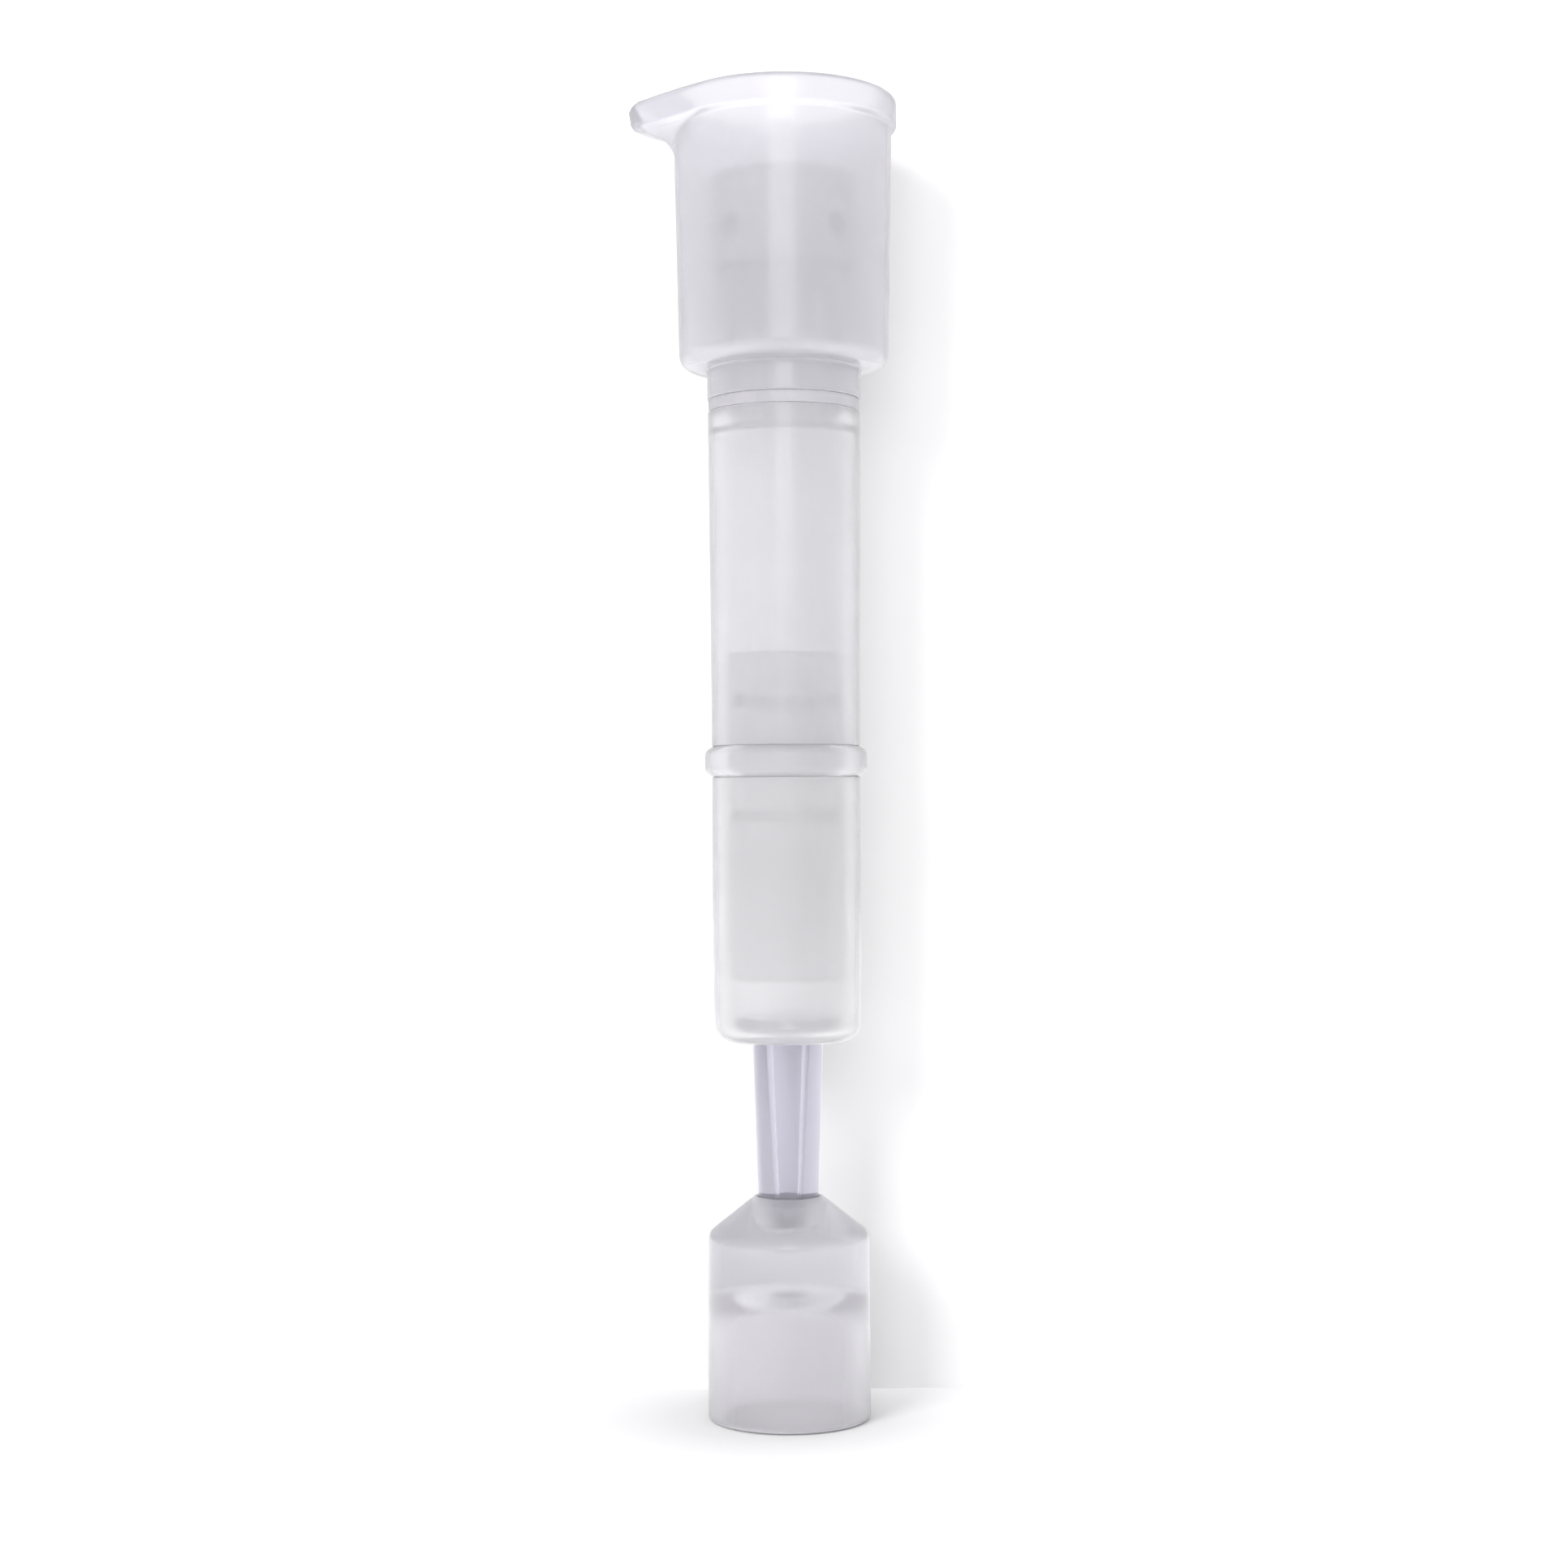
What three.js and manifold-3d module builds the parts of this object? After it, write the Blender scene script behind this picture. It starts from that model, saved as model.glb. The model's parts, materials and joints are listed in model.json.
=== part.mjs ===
// Fuel sampler cup: a clear plastic pilot's tool for drawing a fuel sample from a drain valve.
// Millimetres, +Z up. The origin is on the surface it stands on, at the middle of its footprint box.
// Every piece is turned about one upright axis, which sits a little to +X of the origin because the
// pouring lip reaches out to -X.

import * as THREE from 'three';
import { mergeVertices } from 'three/addons/utils/BufferGeometryUtils.js';
import Module from 'manifold-3d';

const wasm = await Module();
wasm.setup();

// ---- driving dimensions ----
const GAP = 0.3; // between the faces of neighbouring pieces
const SLIP = 0.15; // radial clearance of a push fit

const FOOT_R = 10.4; // foot skirt, at the rim it stands on
const FOOT_WALL = 1.6;
const FOOT_SHOULDER_Z = 23.4;
const FOOT_TOP_Z = 27.8;
const FOOT_ROOF_Z = 16.8; // top of the hollow under the solid roof
const FOOT_DOME_R = 5; // rounding between the roof of the hollow and its wall
const SOCKET_R = 4.2; // blind socket in the foot that the stem's tip sits in

const STEM_TIP_Z = 21.8;
const STEM_TOP_R = 4.58;
const STEM_END_R = 3.85; // where the taper turns into the round tip
const STEM_BORE_TOP_R = 1.7;
const STEM_BORE_END_R = 1.0;
const STEM_FLANGE_R = 6.8;

const BARREL_BOTTOM_Z = 48;
const BARREL_FLOOR_Z = 49.3;
const TUBE_R = 9.5; // outside of the lower barrel and of the sight tube
const TUBE_BORE_R = 7.8;

const JOINT_Z = 83.8; // middle of the coupling ring
const RING_H = 3.4;
const RING_R = 10.4;

const SLEEVE_R = TUBE_BORE_R - SLIP - 0.1;
const SLEEVE_BORE_R = 5.8;
const SLEEVE_BOTTOM_Z = 56;
const SLEEVE_TOP_Z = 97.6;
const SEAL_SECTION_R = 0.42; // half the thickness of a seal ring
const GROOVE_H = 1.5;
const GROOVE_R = SLEEVE_R - 0.95;

const TUBE_SHOULDER_Z = 128.6; // where the sight tube steps down to enter the cup
const TUBE_UPPER_R = 9.8; // the tube is a little fuller just under the cup
const TUBE_END_R = 8.85;
const TUBE_END_BORE_R = 7.55;
const TUBE_TOP_Z = 146.3;

const NECK_R = 9.85; // socket under the cup
const NECK_BORE_R = TUBE_END_R + SLIP;
const NECK_BOTTOM_Z = 130.2;
const CUP_UNDERSIDE_Z = 133.4;
const CUP_FLOOR_Z = 135;
const CUP_LOW_R = 13.4; // outside of the cup wall above its rounded corner
const CUP_HIGH_R = 14;
const CUP_WALL = 1.4;
const RIM_R = 14.65;
const RIM_H = 3.8;
const RIM_TOP_Z = 168.8;
const LIP_REACH = 19.9; // axis to the tip of the pouring lip

const CARRIER_R = 9.45;
const CARRIER_BOTTOM_Z = TUBE_TOP_Z + GAP;
const CARRIER_TOP_Z = 158.9;
const CARRIER_DISC_T = 2.2;
const CARRIER_BORE_R = 6.3;
const SPIGOT_R = TUBE_END_BORE_R - SLIP;
const SPIGOT_BOTTOM_Z = 140;
const HUB_TOP_R = 2.9;
const HUB_END_R = 2.3;
const PORT_R = 1.6;
const PORT_Z = 151.4;

const PIN_R = 1.6;
const PIN_BOTTOM_Z = 142;
const PIN_TOP_Z = 166.3;
const PIN_COLLAR_R = 2.7;
const PIN_COLLAR_H = 1.2;

const SIDES = 36; // facets round every turned piece
const BODY_STEPS = 18; // facets round a spout's body and its nose
const NOSE_STEPS = 8;
const AXIS_X = (LIP_REACH - RIM_R) / 2;

// ---- helpers ----

// Points [r, z] on an arc about (r, z), from one angle in degrees to another.
function arc(r, z, radius, from, to, steps = 4) {
  const points = [];
  for (let i = 0; i <= steps; i++) {
    const a = THREE.MathUtils.degToRad(from + ((to - from) * i) / steps);
    points.push([r + radius * Math.cos(a), z + radius * Math.sin(a)]);
  }
  return points;
}

// Only positions, with shared vertices joined, as a closed solid needs.
function welded(geometry) {
  geometry.deleteAttribute('normal');
  geometry.deleteAttribute('uv');
  return mergeVertices(geometry, 1e-4);
}

// A closed outline of [r, z] points, listed up the outside and down the inside, turned about Z.
function turned(outline, sides = SIDES) {
  const points = [...outline, outline[0]].map(([r, z]) => new THREE.Vector2(r, z));
  return welded(new THREE.LatheGeometry(points, sides).rotateX(Math.PI / 2));
}

function ringOfRound(r, z, section) {
  return welded(new THREE.TorusGeometry(r, section, 8, SIDES).translate(0, 0, z));
}

function toSolid(geometry) {
  return new wasm.Manifold(
    new wasm.Mesh({
      numProp: 3,
      vertProperties: new Float32Array(geometry.attributes.position.array),
      triVerts: new Uint32Array(geometry.index.array),
    })
  );
}

function fromSolid(solid) {
  const mesh = solid.getMesh();
  const geometry = new THREE.BufferGeometry();
  geometry.setAttribute('position', new THREE.BufferAttribute(new Float32Array(mesh.vertProperties), 3));
  geometry.setIndex(new THREE.BufferAttribute(new Uint32Array(mesh.triVerts), 1));
  return geometry;
}

// A solid through a stack of level rings, each a list of [x, y] points that bulges outwards all round.
function stacked(rings, heights) {
  const count = rings[0].length;
  const position = [];
  rings.forEach((ring, k) => ring.forEach(([x, y]) => position.push(x, y, heights[k])));
  const index = [];
  for (let k = 0; k + 1 < rings.length; k++) {
    for (let i = 0; i < count; i++) {
      const a = k * count + i;
      const b = k * count + ((i + 1) % count);
      index.push(a, b, b + count, a, b + count, a + count);
    }
  }
  const top = (rings.length - 1) * count;
  for (let i = 1; i + 1 < count; i++) {
    index.push(0, i + 1, i, top, top + i, top + i + 1);
  }
  const geometry = new THREE.BufferGeometry();
  geometry.setAttribute('position', new THREE.Float32BufferAttribute(position, 3));
  geometry.setIndex(index);
  return geometry;
}

// Plan of a spout: a circle about the axis drawn out to -X, ending in a nose of a given radius.
function spoutPlan(bodyR, reach, noseR) {
  const noseX = reach - noseR;
  const tangent = Math.acos((bodyR - noseR) / noseX);
  const points = [];
  for (let i = 0; i <= BODY_STEPS; i++) {
    const a = Math.PI + tangent + ((2 * Math.PI - 2 * tangent) * i) / BODY_STEPS;
    points.push([bodyR * Math.cos(a), bodyR * Math.sin(a)]);
  }
  for (let i = 0; i <= NOSE_STEPS; i++) {
    const a = Math.PI - tangent + (2 * tangent * i) / NOSE_STEPS;
    points.push([-noseX + noseR * Math.cos(a), noseR * Math.sin(a)]);
  }
  return points;
}

// ---- pieces ----

function cupShell() {
  const innerHigh = CUP_HIGH_R - CUP_WALL;
  const innerLow = CUP_LOW_R - CUP_WALL;
  const rimLow = RIM_TOP_Z - RIM_H;
  const body = turned([
    [NECK_BORE_R, NECK_BOTTOM_Z],
    [NECK_R, NECK_BOTTOM_Z],
    [NECK_R, CUP_UNDERSIDE_Z - 0.4],
    [NECK_R + 0.4, CUP_UNDERSIDE_Z],
    ...arc(CUP_LOW_R - 3.1, CUP_UNDERSIDE_Z + 3.1, 3.1, -90, 0, 5),
    [CUP_HIGH_R, rimLow - 0.5],
    ...arc(RIM_R - 0.7, rimLow + 0.7, 0.7, -60, 0, 3),
    ...arc(RIM_R - 0.7, RIM_TOP_Z - 0.7, 0.7, 0, 90, 3),
    ...arc(innerHigh + 0.4, RIM_TOP_Z - 0.4, 0.4, 90, 180, 2),
    [innerLow, CUP_FLOOR_Z + 2],
    ...arc(innerLow - 2, CUP_FLOOR_Z + 2, 2, 0, -90, 4).slice(1),
    [NECK_BORE_R, CUP_FLOOR_Z],
  ]);
  // The lip leaves the rim as a beak and is faired into the wall below it.
  const lipLevels = [
    [CUP_HIGH_R - 0.3, CUP_HIGH_R - 0.2, 2.2, RIM_TOP_Z - 7.2],
    [CUP_HIGH_R - 0.3, LIP_REACH - 5.4, 2.4, RIM_TOP_Z - 5.8],
    [CUP_HIGH_R - 0.2, LIP_REACH - 4.4, 2.7, RIM_TOP_Z - 4.3],
    [RIM_R - 0.4, LIP_REACH - 1.4, 3, RIM_TOP_Z - 3.7],
    [RIM_R - 0.1, LIP_REACH - 0.3, 3.2, RIM_TOP_Z - 2.9],
    [RIM_R - 0.1, LIP_REACH, 3.3, RIM_TOP_Z - 2],
    [RIM_R - 0.1, LIP_REACH - 0.2, 3.2, RIM_TOP_Z - 1.1],
    [RIM_R - 0.3, LIP_REACH - 0.9, 2.9, RIM_TOP_Z - 0.5],
  ];
  const lip = stacked(
    lipLevels.map(([bodyR, reach, noseR]) => spoutPlan(bodyR, reach, noseR)),
    lipLevels.map((level) => level[3])
  );
  // The trough is cut from inside the cup out along the lip, and the cup's own bore is kept open.
  const troughLevels = [
    [innerLow - 1, innerLow - 0.5, 1.2, RIM_TOP_Z - 5.6],
    [innerLow - 0.8, innerHigh + 1.4, 1.3, RIM_TOP_Z - 3.4],
    [innerLow - 0.5, LIP_REACH - 2.6, 1.6, RIM_TOP_Z - 2],
    [innerLow - 0.2, LIP_REACH - 1.5, 2.1, RIM_TOP_Z - 0.5],
    [innerLow, LIP_REACH - 1.1, 2.4, RIM_TOP_Z + 1],
  ];
  const trough = stacked(
    troughLevels.map(([bodyR, reach, noseR]) => spoutPlan(bodyR, reach, noseR)),
    troughLevels.map((level) => level[3])
  );
  const bore = turned([
    [0, CUP_FLOOR_Z + 6],
    [innerLow + 0.12, CUP_FLOOR_Z + 6],
    [innerHigh - 0.02, RIM_TOP_Z - 1.2],
    [innerHigh - 0.02, RIM_TOP_Z + 1],
    [0, RIM_TOP_Z + 1],
  ]);
  return fromSolid(toSolid(body).add(toSolid(lip).subtract(toSolid(bore))).subtract(toSolid(trough)));
}

// Flat washer between the cup's socket and the shoulder of the sight tube.
function neckGasket() {
  const low = TUBE_SHOULDER_Z + GAP;
  const high = NECK_BOTTOM_Z - GAP;
  return turned([
    [NECK_BORE_R, low],
    [NECK_R - 0.15, low],
    [NECK_R - 0.15, high],
    [NECK_BORE_R, high],
  ]);
}

// Long tube that the sample is read in. Its turned-down end stands in the cup, with drain slots
// at the cup's floor.
function sightTube() {
  const low = JOINT_Z + RING_H / 2 + GAP;
  const body = turned([
    [TUBE_BORE_R + 0.3, low],
    [TUBE_R - 0.3, low],
    [TUBE_R, low + 0.3],
    [TUBE_R + 0.05, SLEEVE_TOP_Z],
    [TUBE_UPPER_R, TUBE_SHOULDER_Z - 0.3],
    [TUBE_UPPER_R - 0.3, TUBE_SHOULDER_Z],
    [TUBE_END_R, TUBE_SHOULDER_Z],
    [TUBE_END_R, TUBE_TOP_Z],
    [TUBE_END_BORE_R, TUBE_TOP_Z],
    [TUBE_END_BORE_R, TUBE_SHOULDER_Z - 2],
    [TUBE_BORE_R, TUBE_SHOULDER_Z - 3],
    [TUBE_BORE_R, low + 0.3],
  ]);
  const slotH = 3;
  let solid = toSolid(body);
  for (const turn of [45, 135]) {
    const slot = new THREE.BoxGeometry(3 * TUBE_R, 2.4, slotH);
    slot.rotateZ(THREE.MathUtils.degToRad(turn));
    slot.translate(0, 0, CUP_FLOOR_Z + GAP + slotH / 2);
    solid = solid.subtract(toSolid(welded(slot)));
  }
  return fromSolid(solid);
}

// Cap that presses into the standing end of the tube and holds the valve pin in a tapered hub.
// Four ports in its side let fuel through.
function probeCarrier() {
  const discLow = CARRIER_TOP_Z - CARRIER_DISC_T;
  const pinBore = PIN_R + SLIP;
  const body = turned([
    [CARRIER_BORE_R, SPIGOT_BOTTOM_Z],
    [SPIGOT_R - 0.3, SPIGOT_BOTTOM_Z],
    [SPIGOT_R, SPIGOT_BOTTOM_Z + 0.6],
    [SPIGOT_R, CARRIER_BOTTOM_Z],
    [CARRIER_R, CARRIER_BOTTOM_Z],
    ...arc(CARRIER_R - 0.7, CARRIER_TOP_Z - 0.7, 0.7, 0, 90, 3),
    [pinBore, CARRIER_TOP_Z],
    [pinBore, SPIGOT_BOTTOM_Z - 0.3],
    [HUB_END_R, SPIGOT_BOTTOM_Z - 0.3],
    [HUB_TOP_R, discLow - 0.6],
    [HUB_TOP_R + 0.6, discLow],
    [CARRIER_BORE_R + 0.6, discLow],
    [CARRIER_BORE_R + 0.9, discLow - 0.4],
    [CARRIER_BORE_R + 0.9, CARRIER_BOTTOM_Z + 1],
    [CARRIER_BORE_R, CARRIER_BOTTOM_Z],
  ]);
  let solid = toSolid(body);
  for (const turn of [45, 135, 225, 315]) {
    const depth = CARRIER_R + 1 - HUB_TOP_R - 0.8;
    const port = new THREE.CylinderGeometry(PORT_R, PORT_R, depth, 16);
    port.rotateZ(Math.PI / 2);
    port.translate(HUB_TOP_R + 0.8 + depth / 2, 0, PORT_Z);
    port.rotateZ(THREE.MathUtils.degToRad(turn));
    solid = solid.subtract(toSolid(welded(port)));
  }
  return fromSolid(solid);
}

// Rod that pushes the drain valve open. Its collar rests on the carrier.
function valvePin() {
  const collarLow = CARRIER_TOP_Z + GAP;
  const collarHigh = collarLow + PIN_COLLAR_H;
  return turned(
    [
      [0, PIN_BOTTOM_Z],
      [PIN_R - 0.4, PIN_BOTTOM_Z],
      [PIN_R, PIN_BOTTOM_Z + 0.6],
      [PIN_R, collarLow],
      [PIN_COLLAR_R - 0.2, collarLow],
      [PIN_COLLAR_R, collarLow + 0.2],
      [PIN_COLLAR_R, collarHigh - 0.2],
      [PIN_COLLAR_R - 0.2, collarHigh],
      [PIN_R, collarHigh],
      [PIN_R - 0.2, PIN_TOP_Z - 0.8],
      ...arc(PIN_R - 0.6, PIN_TOP_Z - 0.4, 0.4, 30, 90, 2),
      [0, PIN_TOP_Z],
    ],
    24
  );
}

// Spigot that both halves push onto, with a groove for a seal on each side of the coupling ring.
function couplingSleeve() {
  const grooves = sealHeights().map((z) => [
    [SLEEVE_R, z - GROOVE_H / 2],
    [GROOVE_R, z - GROOVE_H / 2],
    [GROOVE_R, z + GROOVE_H / 2],
    [SLEEVE_R, z + GROOVE_H / 2],
  ]);
  return turned([
    [SLEEVE_BORE_R, SLEEVE_BOTTOM_Z],
    [SLEEVE_R - 0.4, SLEEVE_BOTTOM_Z],
    [SLEEVE_R, SLEEVE_BOTTOM_Z + 0.8],
    ...grooves.flat(),
    [SLEEVE_R, SLEEVE_TOP_Z - 0.8],
    [SLEEVE_R - 0.4, SLEEVE_TOP_Z],
    [SLEEVE_BORE_R, SLEEVE_TOP_Z],
  ]);
}

// Heights of the two seals on the sleeve, the lower one first.
function sealHeights() {
  return [JOINT_Z - 7, JOINT_Z + 7.6];
}

function sleeveSeal(z) {
  return ringOfRound(GROOVE_R + GAP / 2 + SEAL_SECTION_R, z, SEAL_SECTION_R);
}

// Bead between the two tubes, which each of them stops against.
function couplingRing() {
  const low = JOINT_Z - RING_H / 2;
  const high = JOINT_Z + RING_H / 2;
  const bore = SLEEVE_R + SLIP;
  return turned([
    [bore, low],
    [TUBE_R - 0.1, low],
    ...arc(RING_R - 1.2, low + 1.2, 1.2, -45, 0, 3),
    ...arc(RING_R - 1.2, high - 1.2, 1.2, 0, 45, 3),
    [TUBE_R - 0.1, high],
    [bore, high],
  ]);
}

// Lower half of the tube, with a rounded floor that the stem passes through.
function lowerBarrel() {
  const high = JOINT_Z - RING_H / 2 - GAP;
  const hole = STEM_TOP_R + SLIP + 0.1;
  return turned([
    [hole, BARREL_BOTTOM_Z],
    [TUBE_R - 3.4, BARREL_BOTTOM_Z],
    ...arc(TUBE_R - 2.8, BARREL_BOTTOM_Z + 2.8, 2.7, -75, 0, 4),
    [TUBE_R, BARREL_BOTTOM_Z + 12],
    [TUBE_R, high - 0.3],
    [TUBE_R - 0.3, high],
    [TUBE_BORE_R + 0.3, high],
    [TUBE_BORE_R, high - 0.3],
    [TUBE_BORE_R - 0.05, BARREL_FLOOR_Z + 2.5],
    ...arc(TUBE_BORE_R - 0.95, BARREL_FLOOR_Z + 0.9, 0.9, 0, -90, 3),
    [hole, BARREL_FLOOR_Z],
  ]);
}

// Flat washer under the flange of the stem.
function floorSeal() {
  const low = BARREL_FLOOR_Z + GAP / 2;
  return turned([
    [STEM_TOP_R + SLIP + 0.1, low],
    [STEM_FLANGE_R - 0.4, low],
    [STEM_FLANGE_R - 0.4, low + 0.4],
    [STEM_TOP_R + SLIP + 0.1, low + 0.4],
  ]);
}

// Tapered well under the barrel, closed by a round tip, where water and dirt settle.
function sedimentStem() {
  const flangeLow = BARREL_FLOOR_Z + GAP / 2 + 0.4 + GAP / 2;
  const flangeTop = flangeLow + 1.2;
  const boreEnd = STEM_TIP_Z + 3.2;
  return turned(
    [
      [0, STEM_TIP_Z],
      ...arc(STEM_END_R - 3, STEM_TIP_Z + 3, 3, -75, 0, 5),
      [STEM_TOP_R, flangeLow],
      [STEM_FLANGE_R - 0.3, flangeLow],
      [STEM_FLANGE_R, flangeLow + 0.3],
      [STEM_FLANGE_R - 0.2, flangeTop],
      [STEM_BORE_TOP_R + 1.6, flangeTop - 0.2],
      [STEM_BORE_TOP_R, flangeTop - 2],
      [STEM_BORE_END_R, boreEnd + 0.8],
      [STEM_BORE_END_R * 0.6, boreEnd + 0.2],
      [0, boreEnd],
    ],
    32
  );
}

// Hollow skirt that the sampler stands on. Its thick sloped roof holds the stem's round tip in a
// blind socket.
function footSkirt() {
  const inner = FOOT_R - FOOT_WALL;
  const socketEnd = STEM_TIP_Z - GAP;
  const socketRound = 3.2;
  return turned([
    [inner + 0.25, 0],
    [FOOT_R - 0.25, 0],
    [FOOT_R, 0.4],
    ...arc(FOOT_R - 1.5, FOOT_SHOULDER_Z - 1.2, 1.25, 0, 60, 4),
    [SOCKET_R + 0.5, FOOT_TOP_Z - 0.2],
    [SOCKET_R + 0.2, FOOT_TOP_Z],
    [SOCKET_R, FOOT_TOP_Z],
    ...arc(SOCKET_R - socketRound, socketEnd + socketRound, socketRound, 0, -75, 5),
    [0, socketEnd],
    [0, FOOT_ROOF_Z],
    ...arc(inner - FOOT_DOME_R - 0.1, FOOT_ROOF_Z - FOOT_DOME_R, FOOT_DOME_R, 85, 0, 6),
    [inner, 0.4],
  ]);
}

// ---- materials ----

function clearPlastic(color, roughness) {
  return new THREE.MeshStandardMaterial({
    color,
    roughness,
    metalness: 0,
    transparent: true,
    opacity: 0.4,
  });
}

function clearRubber() {
  return new THREE.MeshStandardMaterial({ color: 0xc9c7d2, roughness: 0.5, metalness: 0 });
}

// ---- the assembly ----

const sampler = new THREE.Group();
sampler.position.x = AXIS_X;

function add(name, geometry, material) {
  const mesh = new THREE.Mesh(geometry, material);
  mesh.name = name;
  sampler.add(mesh);
}

add('foot_skirt', footSkirt(), clearPlastic(0xd6d4df, 0.12));
add('sediment_stem', sedimentStem(), clearPlastic(0xcfccdc, 0.08));
add('floor_seal', floorSeal(), clearRubber());
add('lower_barrel', lowerBarrel(), clearPlastic(0xd9d8e0, 0.1));
add('coupling_sleeve', couplingSleeve(), clearPlastic(0xdcdbe2, 0.1));
sealHeights().forEach((z, i) => {
  add(i ? 'upper_sleeve_seal' : 'lower_sleeve_seal', sleeveSeal(z), clearRubber());
});
add('coupling_ring', couplingRing(), clearPlastic(0xdcdbe2, 0.1));
add('sight_tube', sightTube(), clearPlastic(0xdedde3, 0.1));
add('neck_gasket', neckGasket(), clearRubber());
add('cup_shell', cupShell(), clearPlastic(0xdad8e2, 0.1));
add('probe_carrier', probeCarrier(), clearPlastic(0xcfcddb, 0.14));
add('valve_pin', valvePin(), clearPlastic(0xd8d6e2, 0.1));

export default sampler;
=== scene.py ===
"""Fuel sampler cup in clear moulded plastic, on a pale studio floor. Metres, +Z up, in the CAD frame."""

import json
import math

import bmesh
import bpy
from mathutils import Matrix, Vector


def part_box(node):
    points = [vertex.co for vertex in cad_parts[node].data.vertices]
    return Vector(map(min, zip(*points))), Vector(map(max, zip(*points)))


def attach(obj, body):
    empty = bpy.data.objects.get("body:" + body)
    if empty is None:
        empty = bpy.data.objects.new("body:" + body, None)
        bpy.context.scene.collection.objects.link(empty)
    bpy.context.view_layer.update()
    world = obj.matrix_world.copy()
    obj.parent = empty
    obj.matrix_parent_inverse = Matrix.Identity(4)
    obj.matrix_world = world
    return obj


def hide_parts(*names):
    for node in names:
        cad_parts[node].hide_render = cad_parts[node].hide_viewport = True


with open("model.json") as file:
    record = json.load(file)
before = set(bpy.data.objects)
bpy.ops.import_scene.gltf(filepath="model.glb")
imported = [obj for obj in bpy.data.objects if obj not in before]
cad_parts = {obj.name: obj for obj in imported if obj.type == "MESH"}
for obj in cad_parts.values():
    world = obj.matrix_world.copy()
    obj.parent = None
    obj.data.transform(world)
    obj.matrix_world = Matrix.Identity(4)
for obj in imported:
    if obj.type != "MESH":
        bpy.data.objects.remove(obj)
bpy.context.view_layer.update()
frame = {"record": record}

MM = 0.001
ROUND = 160  # facets round every turned piece

bpy.context.scene.view_settings.view_transform = "Standard"


# ---- where things are, from the frame ----

def levels(node):
    """Bottom, top and outer radius of a turned CAD node, in mm."""
    low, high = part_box(node)
    return low.z / MM, high.z / MM, (high.y - low.y) / 2 / MM


tube_low, tube_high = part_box("sight_tube")
AXIS = Vector(((tube_low.x + tube_high.x) / 2, 0, 0))


# ---- camera and stage ----

CAMERA_DISTANCE = 0.34
CAMERA_HEIGHT = 0.0779
CAMERA_LEFT = 0.0003  # how far the camera stands to the left of the tube's axis
CAMERA_ROLL = math.radians(0.33)
CAMERA_PITCH = math.radians(0.51)
LENS = 60.8

SEEN_WORLD = 1.05  # brightness of the world to the camera
WORLD_LIGHT = 0.87  # and to all other light
PAPER_GREY = 0.83
FLOOR_Z = -0.0002
FLOOR_REACH = 1.5
GLOW_FROM, GLOW_TO = 0.012, 0.06  # distances over which the floor turns white
FLOOR_GLOW = 0.5
CARD_Y = 0.0165
CARD_REACH = 0.17
CARD_HEIGHT = 0.34

KEY_POWER = 6.5
FRONT_POWER = 1.5


def make_camera():
    data = bpy.data.cameras.new("camera")
    data.lens = LENS
    data.clip_start = 0.01
    camera = bpy.data.objects.new("camera", data)
    bpy.context.scene.collection.objects.link(camera)
    camera.location = AXIS + Vector((-CAMERA_LEFT, -CAMERA_DISTANCE, CAMERA_HEIGHT))
    camera.rotation_euler = (math.pi / 2 + CAMERA_PITCH, CAMERA_ROLL, 0)
    bpy.context.scene.camera = camera


def area_light(name, place, aim, size, power, only_paper=False):
    """A soft light. With only_paper the sampler casts its shadow on the paper but isn't lit itself."""
    data = bpy.data.lights.new(name, "AREA")
    data.shape = "RECTANGLE"
    data.size, data.size_y = size
    data.energy = power
    data.cycles.use_multiple_importance_sampling = False
    lamp = bpy.data.objects.new(name, data)
    bpy.context.scene.collection.objects.link(lamp)
    lamp.location = place
    lamp.rotation_euler = (Vector(aim) - Vector(place)).to_track_quat("-Z", "Y").to_euler()
    if only_paper:
        lit = bpy.data.collections.new("lit_by_" + name)
        for paper in ("floor", "card"):
            lit.objects.link(bpy.data.objects[paper])
        lamp.light_linking.receiver_collection = lit


def make_world():
    """White to the camera, a little darker to the light that passes through the plastic."""
    world = bpy.data.worlds.new("studio")
    bpy.context.scene.world = world
    world.use_nodes = True
    nodes, links = world.node_tree.nodes, world.node_tree.links
    seen, around = nodes["Background"], nodes.new("ShaderNodeBackground")
    seen.inputs["Color"].default_value = (1, 1, 1, 1)
    seen.inputs["Strength"].default_value = SEEN_WORLD
    around.inputs["Color"].default_value = (0.985, 0.985, 1, 1)
    around.inputs["Strength"].default_value = WORLD_LIGHT
    mix = nodes.new("ShaderNodeMixShader")
    links.new(nodes.new("ShaderNodeLightPath").outputs["Is Camera Ray"], mix.inputs["Fac"])
    links.new(around.outputs["Background"], mix.inputs[1])
    links.new(seen.outputs["Background"], mix.inputs[2])
    links.new(mix.outputs["Shader"], nodes["World Output"].inputs["Surface"])


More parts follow.
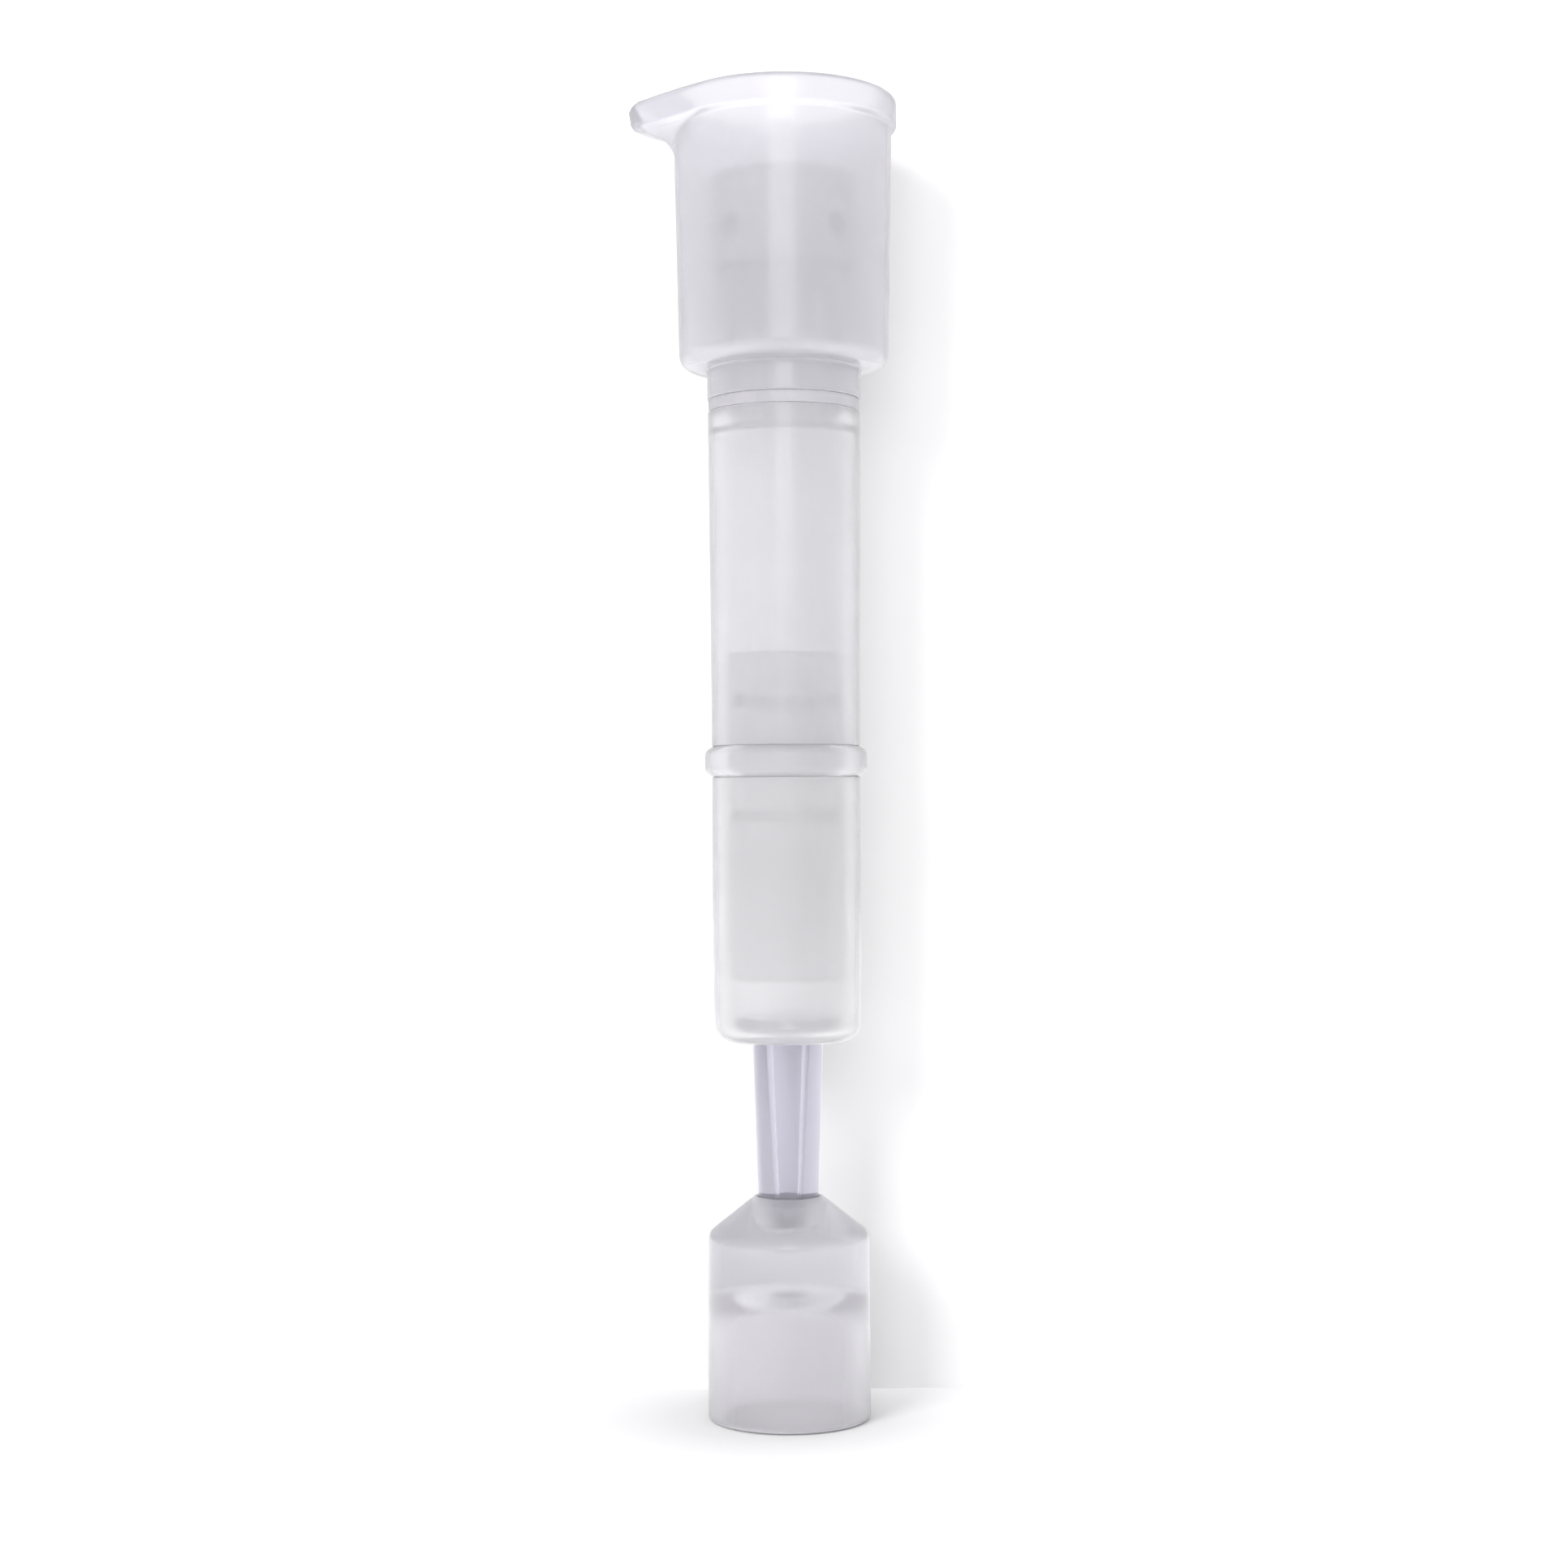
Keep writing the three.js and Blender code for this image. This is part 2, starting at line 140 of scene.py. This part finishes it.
def paper_material(name, glow):
    """Pale paper that can't be seen from behind, and glows towards white away from the sampler."""
    material = bpy.data.materials.new(name)
    material.use_nodes = True
    nodes, links = material.node_tree.nodes, material.node_tree.links
    shader = nodes["Principled BSDF"]
    shader.inputs["Base Color"].default_value = (PAPER_GREY, PAPER_GREY, PAPER_GREY, 1)
    shader.inputs["Roughness"].default_value = 0.95
    shader.inputs["Specular IOR Level"].default_value = 0.1
    shader.inputs["Emission Color"].default_value = (1, 1, 1, 1)
    reach = nodes.new("ShaderNodeVectorMath")
    reach.operation = "LENGTH"
    links.new(nodes.new("ShaderNodeTexCoord").outputs["Object"], reach.inputs[0])
    rise = nodes.new("ShaderNodeMapRange")
    links.new(reach.outputs["Value"], rise.inputs["Value"])
    rise.inputs["From Min"].default_value = GLOW_FROM
    rise.inputs["From Max"].default_value = GLOW_TO
    rise.inputs["To Max"].default_value = glow
    links.new(rise.outputs["Result"], shader.inputs["Emission Strength"])
    mix = nodes.new("ShaderNodeMixShader")
    links.new(nodes.new("ShaderNodeNewGeometry").outputs["Backfacing"], mix.inputs["Fac"])
    links.new(shader.outputs["BSDF"], mix.inputs[1])
    links.new(nodes.new("ShaderNodeBsdfTransparent").outputs["BSDF"], mix.inputs[2])
    links.new(mix.outputs["Shader"], nodes["Material Output"].inputs["Surface"])
    return material


def sheet(name, corners, material):
    mesh = bpy.data.meshes.new(name)
    mesh.from_pydata(corners, [], [(0, 1, 2, 3)])
    mesh.materials.append(material)
    paper = bpy.data.objects.new(name, mesh)
    bpy.context.scene.collection.objects.link(paper)
    return paper


def make_stage():
    """A floor, and a card that stands close behind the sampler and catches its shadow."""
    r, z = FLOOR_REACH, FLOOR_Z
    corners = [(-r, -r, z), (r, -r, z), (r, r, z), (-r, r, z)]
    sheet("floor", corners, paper_material("floor_paper", FLOOR_GLOW))
    w, y, h = CARD_REACH, CARD_Y, CARD_HEIGHT
    corners = [(-w, y, z), (w, y, z), (w, y, h), (-w, y, h)]
    card = sheet("card", corners, paper_material("card_paper", 0))
    card.visible_shadow = False
    card.visible_diffuse = False  # so that it takes no light from the back of the sampler
    card.visible_glossy = False


make_camera()
make_world()
make_stage()
area_light("key", (-0.55, -0.85, 0.55), (0, 0, 0.08), (0.4, 0.4), KEY_POWER, only_paper=True)
area_light("front", (-0.01, -0.9, 0.4), (0, 0, 0.12), (0.45, 0.4), FRONT_POWER)


# ---- materials ----

class Graph:
    """A few words for making a node material."""

    def __init__(self, name):
        self.material = bpy.data.materials.new(name)
        self.material.use_nodes = True
        self.nodes = self.material.node_tree.nodes
        self.links = self.material.node_tree.links
        self.shader = self.nodes["Principled BSDF"]

    def add(self, kind, **inputs):
        node = self.nodes.new(kind)
        for name, value in inputs.items():
            socket = node.inputs[name.replace("_", " ")]
            if hasattr(value, "is_linked"):
                self.links.new(value, socket)
            else:
                socket.default_value = value
        return node

    def place(self, stretch=(1, 1, 1)):
        coordinates = self.add("ShaderNodeTexCoord").outputs["Object"]
        return self.add("ShaderNodeMapping", Vector=coordinates, Scale=stretch).outputs["Vector"]

    def noise(self, scale, stretch=(1, 1, 1), detail=3.0):
        node = self.add("ShaderNodeTexNoise", Vector=self.place(stretch), Scale=scale, Detail=detail)
        return node.outputs["Fac"]

    def ramp(self, factor, low, high, start=0.35, end=0.65):
        node = self.add("ShaderNodeValToRGB", Fac=factor)
        stops = node.color_ramp.elements
        stops[0].position, stops[1].position = start, end
        stops[0].color, stops[1].color = low, high
        return node.outputs["Color"]

    def to(self, socket, value):
        self.links.new(value, self.shader.inputs[socket])


def grey(value):
    return (value, value, value, 1)


ACRYLIC_IOR = 1.49
SILICONE_IOR = 1.41
FLOW_MARKS = 0.12
INNER_COLOUR = (0.5, 0.48, 0.6, 1)  # what a thick place darkens towards


def clear_plastic(name, tint, depth, clear=0.7, gloss=0.16, haze=0.26, lines=0.0):
    """Milky clear plastic. depth is how fast thick places darken, clear the part of the light that
    passes through, gloss and haze the roughness of clean and handled places, and lines the depth of
    the draw lines along a tube."""
    g = Graph(name)
    g.shader.inputs["Transmission Weight"].default_value = clear
    g.shader.inputs["IOR"].default_value = ACRYLIC_IOR
    deep = tuple(c * 0.965 for c in tint)
    g.to("Base Color", g.ramp(g.noise(60), (*deep, 1), (*tint, 1)))
    g.to("Roughness", g.ramp(g.noise(220), grey(gloss), grey(haze), 0.2, 0.8))
    height = g.noise(90, (1, 1, 0.45), 2.0)
    bump = g.add("ShaderNodeBump", Height=height, Strength=FLOW_MARKS, Distance=0.0004)
    if lines:
        fine = g.noise(900, (1, 1, 0.01), 2.0)
        under = bump.outputs["Normal"]
        bump = g.add("ShaderNodeBump", Height=fine, Strength=lines, Distance=0.0001, Normal=under)
    g.to("Normal", bump.outputs["Normal"])
    inside = g.add("ShaderNodeVolumeAbsorption", Color=INNER_COLOUR, Density=depth)
    g.links.new(inside.outputs["Volume"], g.nodes["Material Output"].inputs["Volume"])
    return g.material


def seal_rubber(name):
    g = Graph(name)
    g.shader.inputs["Transmission Weight"].default_value = 0.55
    g.shader.inputs["IOR"].default_value = SILICONE_IOR
    g.to("Base Color", g.ramp(g.noise(300), (0.8, 0.79, 0.83, 1), (0.88, 0.87, 0.9, 1)))
    g.to("Roughness", g.ramp(g.noise(900, detail=5), grey(0.3), grey(0.48)))
    bump = g.add("ShaderNodeBump", Height=g.noise(1500), Strength=0.2, Distance=0.0001)
    g.to("Normal", bump.outputs["Normal"])
    return g.material


PLASTICS = {
    "cup_plastic": dict(tint=(0.93, 0.92, 0.955), clear=0.66, depth=50),
    "tube_plastic": dict(tint=(0.965, 0.96, 0.98), lines=0.3, depth=18),
    "sleeve_plastic": dict(tint=(0.975, 0.97, 0.985), clear=0.9, depth=12),
    "barrel_plastic": dict(tint=(0.985, 0.98, 0.995), lines=0.15, depth=8),
    "stem_plastic": dict(tint=(0.9, 0.89, 0.94), clear=0.86, gloss=0.08, haze=0.14, depth=140),
    "foot_plastic": dict(tint=(0.97, 0.96, 0.985), clear=0.74, gloss=0.18, haze=0.26, depth=24),
    "carrier_plastic": dict(tint=(0.93, 0.92, 0.96), clear=0.45, gloss=0.25, haze=0.35, depth=25),
    "pin_plastic": dict(tint=(0.93, 0.925, 0.95), clear=0.1, gloss=0.25, haze=0.35, depth=5),
}

MATERIALS = {name: clear_plastic(name, **finish) for name, finish in PLASTICS.items()}
MATERIALS["seal_rubber"] = seal_rubber("seal_rubber")


# ---- turned shapes ----

def fillet(corner, before, after, radius, steps=6):
    """Points that round a corner of an outline."""
    to_before = (before - corner).normalized()
    to_after = (after - corner).normalized()
    turn = to_before.angle(to_after)
    if radius <= 0 or turn > math.radians(176) or turn < math.radians(2):
        return [corner]
    reach = radius / math.tan(turn / 2)
    reach = min(reach, 0.49 * (before - corner).length, 0.49 * (after - corner).length)
    radius = reach * math.tan(turn / 2)
    centre = corner + (to_before + to_after).normalized() * (radius / math.sin(turn / 2))
    start = corner + to_before * reach - centre
    end = corner + to_after * reach - centre
    sweep = start.angle_signed(end)
    points = []
    for i in range(steps + 1):
        a = -sweep * i / steps
        points.append(centre + Vector((
            start.x * math.cos(a) - start.y * math.sin(a),
            start.x * math.sin(a) + start.y * math.cos(a),
        )))
    return points


def rounded(corners, edge):
    """An outline of [r, z] corners with every corner rounded, by edge or by its own third number,
    and with extra points close to the ends of its long straights, which keep the shading true."""
    points = []
    count = len(corners)
    spots = [Vector(c[:2]) for c in corners]
    for i, corner in enumerate(corners):
        radius = corner[2] if len(corner) > 2 else edge
        if corner[0] <= 0:
            radius = 0
        points += fillet(spots[i], spots[i - 1], spots[(i + 1) % count], radius)
    outline = []
    for i, p in enumerate(points):
        q = points[(i + 1) % len(points)]
        outline.append(p)
        length = (q - p).length
        if length > 1.2 and max(p.x, q.x) > 0:
            steps = max(1, round(length / 6))
            outline.append(p.lerp(q, 0.2 / length))
            outline += [p.lerp(q, k / steps) for k in range(1, steps)]
            outline.append(p.lerp(q, 1 - 0.2 / length))
    return outline


def turn_mesh(name, outline, bend=None, angles=None):
    """The mesh of an outline of (r, z) points in mm turned about the axis. bend takes a point and its
    angle from -X, and gives its radius and height there."""
    angles = angles or [2 * math.pi * i / ROUND for i in range(ROUND)]
    count = len(angles)
    vertices, rings = [], []
    for p in outline:
        if p.x <= 1e-6:
            rings.append([len(vertices)])
            vertices.append(AXIS + Vector((0, 0, p.y * MM)))
            continue
        ring = []
        for a in angles:
            r, z = bend(p, a) if bend else (p.x, p.y)
            ring.append(len(vertices))
            vertices.append(AXIS + Vector((-r * math.cos(a), -r * math.sin(a), z)) * MM)
        rings.append(ring)
    faces = []
    for a, b in zip(rings, rings[1:] + rings[:1]):
        for i in range(count):
            j = (i + 1) % count
            if len(a) == 1 and len(b) == 1:
                break
            if len(a) == 1:
                faces.append((a[0], b[j], b[i]))
            elif len(b) == 1:
                faces.append((a[i], a[j], b[0]))
            else:
                faces.append((a[i], a[j], b[j], b[i]))
    mesh = bpy.data.meshes.new(name)
    mesh.from_pydata(vertices, [], faces)
    shape = bmesh.new()
    shape.from_mesh(mesh)
    bmesh.ops.recalc_face_normals(shape, faces=shape.faces)
    shape.to_mesh(mesh)
    shape.free()
    mesh.shade_smooth()
    return mesh


def body_of_node(node):
    for body, members in frame["record"]["behaviour"]["bodies"].items():
        if node in members:
            return body
    raise ValueError(node)


def slot_of_node(node):
    return next(s["material_slot"] for s in frame["record"]["subparts"] if s["node"] == node)


def finish_piece(node, mesh):
    """A detailed piece that stands for a CAD node."""
    slot = slot_of_node(node)
    piece = bpy.data.objects.new(f"{node}_detail", mesh)
    bpy.context.scene.collection.objects.link(piece)
    mesh.materials.append(MATERIALS[slot])
    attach(piece, body_of_node(node))
    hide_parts(node)


def turned(node, corners, edge=0.15):
    finish_piece(node, turn_mesh(node, rounded(corners, edge)))


# ---- cutting ----

def cut(mesh, cutters):
    """The mesh with other closed meshes cut out of it."""
    scene = bpy.context.scene.collection
    body = bpy.data.objects.new("cut_body", mesh)
    scene.objects.link(body)
    tools = []
    for cutter in cutters:
        tool = bpy.data.objects.new("cut_tool", cutter)
        scene.objects.link(tool)
        tools.append(tool)
        modifier = body.modifiers.new("cut", "BOOLEAN")
        modifier.operation = "DIFFERENCE"
        modifier.solver = "EXACT"
        modifier.object = tool
    graph = bpy.context.evaluated_depsgraph_get()
    result = bpy.data.meshes.new_from_object(body.evaluated_get(graph))
    for leftover in [body, *tools]:
        bpy.data.objects.remove(leftover)
    result.name = mesh.name
    result.materials.clear()
    result.shade_smooth()
    result.set_sharp_from_angle(angle=math.radians(35))
    return result


BAR_SIDES = 32
QUARTERS = [math.radians(a) for a in (45, 135, 225, 315)]


def bar(radius, start, end, turn, height, stretch=1.0):
    """A level bar from start to end mm out from the axis, at an angle, stretched upright."""
    vertices, faces = [], []
    sides = BAR_SIDES
    along = Vector((math.cos(turn), math.sin(turn), 0))
    across = Vector((-math.sin(turn), math.cos(turn), 0))
    for reach in (start, end):
        for i in range(sides):
            a = 2 * math.pi * i / sides
            p = along * reach + across * (radius * math.cos(a))
            p.z = height + radius * stretch * math.sin(a)
            vertices.append(AXIS + p * MM)
    for i in range(sides):
        j = (i + 1) % sides
        faces.append((i, j, j + sides, i + sides))
    faces.append(tuple(reversed(range(sides))))
    faces.append(tuple(range(sides, 2 * sides)))
    mesh = bpy.data.meshes.new("bar")
    mesh.from_pydata(vertices, [], faces)
    return mesh


# ---- the pieces ----

WALL = 1.7
CLOSER = 0.27  # how far a bead or seal reaches into the clearance beside it
FIT = 0.25  # clearance round the stem where it passes through the barrel's floor
NECK = 4.58  # radius of the stem just under its flange


def foot_skirt():
    low, top, radius = levels("foot_skirt")
    wall = 1.6
    inner = radius - wall
    grip = 3.97  # radius of the hole that holds the stem
    socket_end = levels("sediment_stem")[0] - 0.2
    roof, spring = 17.4, 9.8  # top of the hollow's dome, and where it meets the wall
    dome = []
    steps = 19
    for i in range(1, steps):
        a = math.pi / 2 * i / steps
        dome.append(((inner - 0.05) * math.sin(a) ** 0.8, spring + (roof - spring) * math.cos(a) ** 0.8, 0))
    turned("foot_skirt", [
        (inner, low, 0.35),
        (radius, low, 0.4),
        (radius - 0.1, top - 4.3, 1.6),
        (grip + 1.3, top - 0.35, 1.2),
        (grip + 0.3, top + 0.4, 0.2),
        (grip, top + 0.4, 0.1),
        (grip, socket_end + 5.0, 2.0),
        (3.1, socket_end, 2.7),
        (0, socket_end),
        (0, roof),
        *dome,
        (inner - 0.05, spring, 0),
    ])


def sediment_stem():
    tip, top, flange = levels("sediment_stem")
    under = top - 1.2  # underside of the flange
    turned("sediment_stem", [
        (0, tip),
        (2.95, tip, 2.6),
        (3.85, tip + 5.0, 2.0),
        (NECK, under, 0.2),
        (flange, under, 0.2),
        (flange - 0.1, top, 0.3),
        (3.3, top - 0.15, 0.6),
        (1.95, top - 2, 0.8),
        (1.1, tip + 3.8, 0.8),
        (0, tip + 3.2),
    ])


def lower_barrel():
    low, top, radius = levels("lower_barrel")
    bore = radius - WALL
    hole = NECK + FIT
    turned("lower_barrel", [
        (hole, low, 0.2),
        (radius - 0.15, low, 2.7),
        (radius, low + 13, 0),
        (radius, top, 0.15),
        (bore, top, 0.3),
        (bore - 0.05, low + 1.3, 1.0),
        (hole, low + 1.3, 0.2),
    ])


def groove(radius, height):
    depth, half = 0.95, 0.75
    return [
        (radius, height - half, 0.1),
        (radius - depth, height - half, 0.15),
        (radius - depth, height + half, 0.15),
        (radius, height + half, 0.1),
    ]


def middle(node):
    low, high, _ = levels(node)
    return (low + high) / 2


def coupling_sleeve():
    low, top, radius = levels("coupling_sleeve")
    bore = 5.8
    turned("coupling_sleeve", [
        (bore, low, 0.3),
        (radius - 0.3, low, 0.4),
        (radius, low + 1.0, 0.3),
        *groove(radius, middle("lower_sleeve_seal")),
        *groove(radius, middle("upper_sleeve_seal")),
        (radius, top - 1.0, 0.3),
        (radius - 0.3, top, 0.4),
        (bore, top, 0.3),
    ])


def coupling_ring():
    low, top, radius = levels("coupling_ring")
    low -= CLOSER
    top += CLOSER
    bore = 7.7
    turned("coupling_ring", [
        (bore, low, 0.15),
        (9.35, low, 0.1),
        (radius, low + 0.65, 1.1),
        (radius, top - 0.65, 1.1),
        (9.35, top, 0.1),
        (bore, top, 0.15),
    ])


def seal_ring(node):
    low, high, radius = levels(node)
    section = (high - low) / 2
    outline = []
    for i in range(24):
        a = 2 * math.pi * i / 24
        r = radius - section + section * math.cos(a)
        outline.append(Vector((r, middle(node) + section * math.sin(a))))
    finish_piece(node, turn_mesh(node, outline))


def flat_seal(node, hole, grow=0.0):
    low, high, radius = levels(node)
    low, high = low - grow, high + grow
    turned(node, [(hole, low), (radius, low), (radius, high), (hole, high)], 0.1)


def sight_tube():
    low, top, upper = levels("sight_tube")
    shoulder = levels("neck_gasket")[0] - 0.3
    cup_floor = levels("cup_shell")[0] + 4.8
    end, end_bore = 8.85, 7.55
    radius = 9.5
    bore = radius - WALL
    outline = rounded([
        (bore, low, 0.3),
        (radius, low, 0.15),
        (radius + 0.05, low + 12, 0),
        (upper, shoulder, 0.2),
        (end, shoulder, 0.25),
        (end, top, 0.3),
        (end_bore, top, 0.3),
        (end_bore, shoulder - 2.0, 0.8),
        (bore, shoulder - 3.0, 0.8),
    ], 0.15)
    slots = [bar(1.2, 6, 11, turn, cup_floor + 1.8, stretch=1.25) for turn in QUARTERS]
    finish_piece("sight_tube", cut(turn_mesh("sight_tube", outline), slots))


def probe_carrier():
    low, top, radius = levels("probe_carrier")
    seat = levels("sight_tube")[1] + 0.3
    spigot_low = low + 0.3
    disc = top - 2.2
    inside = 6.3
    hub = 2.9
    outline = rounded([
        (inside, spigot_low, 0.3),
        (7.4, spigot_low, 0.5),
        (7.4, seat, 0.15),
        (radius, seat, 0.25),
        (radius, top, 0.8),
        (1.75, top, 0.3),
        (1.75, low, 0.15),
        (2.3, low, 0.3),
        (hub, disc, 0.8),
        (inside + 0.9, disc, 0.5),
        (inside + 0.9, seat + 1, 0.3),
        (inside, seat, 0.4),
    ], 0.15)
    ports = [bar(1.6, 4.2, 11, turn, seat + 4.8) for turn in QUARTERS]
    finish_piece("probe_carrier", cut(turn_mesh("probe_carrier", outline), ports))


def valve_pin():
    low, top, collar = levels("valve_pin")
    seat = levels("probe_carrier")[1] + 0.3
    radius = 1.6
    turned("valve_pin", [
        (0, low),
        (radius, low, 0.5),
        (radius, seat, 0.1),
        (collar, seat, 0.25),
        (collar, seat + 1.2, 0.25),
        (radius, seat + 1.2, 0.3),
        (radius - 0.2, top, 0.5),
        (0, top),
    ])


# ---- the cup and its pouring lip ----

def between(table, x):
    """The value at x of a table of (x, value) points joined by straight lines."""
    if x <= table[0][0]:
        return table[0][1]
    for (x0, v0), (x1, v1) in zip(table, table[1:]):
        if x <= x1:
            t = (x - x0) / (x1 - x0)
            return v0 + (v1 - v0) * t
    return table[-1][1]


def beak(radius, reach, nose, angle):
    """Distance from the axis to a circle drawn out to -X into a round nose, at an angle from -X."""
    a = abs((angle + math.pi) % (2 * math.pi) - math.pi)
    nose_x = reach - nose
    if nose_x <= radius - nose + 0.02:
        return radius
    tangent = math.acos((radius - nose) / nose_x)
    if a >= tangent:
        return radius
    touch = math.atan2(nose * math.sin(tangent), nose_x + nose * math.cos(tangent))
    if a >= touch:
        return radius / math.cos(tangent - a)
    return nose_x * math.cos(a) + math.sqrt(nose ** 2 - (nose_x * math.sin(a)) ** 2)


def cup_shell():
    low, top, _ = levels("cup_shell")
    low_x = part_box("cup_shell")[0].x / MM
    lip = AXIS.x / MM - low_x
    rim = 14.65
    high_r, low_r, wall = 14.0, 13.4, 1.4
    underside = low + 4.0
    floor = low + 5.2
    rim_low = top - 3.8
    slope = (high_r - low_r) / (rim_low - underside)
    outside = [(low_r + slope * (z - underside), z, 0) for z in [rim_low - 4.2 + 0.5 * i for i in range(8)]]
    inside = [(r - wall, z, 0) for r, z, _ in reversed(outside)]
    lip_in = [(high_r - wall, top - 0.5 - 0.5 * i, 0) for i in range(1, 7)]
    outline = rounded([
        (9.0, low, 0.15),
        (9.85, low, 0.2),
        (9.85, underside, 0.45),
        (low_r, underside, 3.4),
        *outside,
        (high_r, rim_low - 0.3, 0.3),
        (rim, rim_low + 0.2, 0.5),
        (rim, top, 0.9),
        (high_r - wall, top, 0.55),
        *lip_in,
        *inside,
        (low_r - wall, floor, 2.0),
        (9.0, floor, 0.2),
    ], 0.15)
    outer_reach = [
        (top - 7.2, high_r - 0.3),
        (top - 5.8, lip - 5.4),
        (top - 4.7, lip - 4.4),
        (top - 4.2, lip - 2.2),
        (top - 3.6, lip - 0.7),
        (top - 2.6, lip - 0.05),
        (top - 1.4, lip - 0.02),
        (top - 0.5, lip - 0.4),
        (top, lip - 0.9),
    ]
    outer_nose = [(top - 7.2, 2.2), (top - 3.8, 3.0), (top - 2, 3.3), (top, 2.9)]
    inner_reach = [
        (top - 5.2, low_r - wall),
        (top - 3.6, lip - 6.2),
        (top - 2.0, lip - 3.2),
        (top - 0.6, lip - 1.7),
        (top, lip - 1.5),
    ]
    inner_nose = [(top - 5, 1.2), (top - 2, 1.8), (top, 2.4)]

    def bend(p, angle):
        if p.y < top - 7.2:
            return p.x, p.y
        side = min(1, max(0, (p.x - (high_r - wall) - 0.05) / (wall - 0.15)))
        reach = (1 - side) * between(inner_reach, p.y) + side * between(outer_reach, p.y)
        nose = (1 - side) * between(inner_nose, p.y) + side * between(outer_nose, p.y)
        r = beak(p.x, reach, nose, angle)
        sag = 0.45 * (r - p.x) / max(reach - p.x, 1) if p.y > top - 2 else 0
        return r, p.y - sag

    finish_piece("cup_shell", turn_mesh("cup_shell", outline, bend, CUP_ANGLES))


# Angles round the cup, closer together at the lip.
CUP_STEPS = 240
CUP_ANGLES = [
    2 * math.pi * i / CUP_STEPS - 0.55 * math.sin(2 * math.pi * i / CUP_STEPS) for i in range(CUP_STEPS)
]


foot_skirt()
sediment_stem()
flat_seal("floor_seal", NECK + FIT)
lower_barrel()
coupling_sleeve()
seal_ring("lower_sleeve_seal")
seal_ring("upper_sleeve_seal")
coupling_ring()
sight_tube()
flat_seal("neck_gasket", 9.0, CLOSER)
probe_carrier()
valve_pin()
cup_shell()
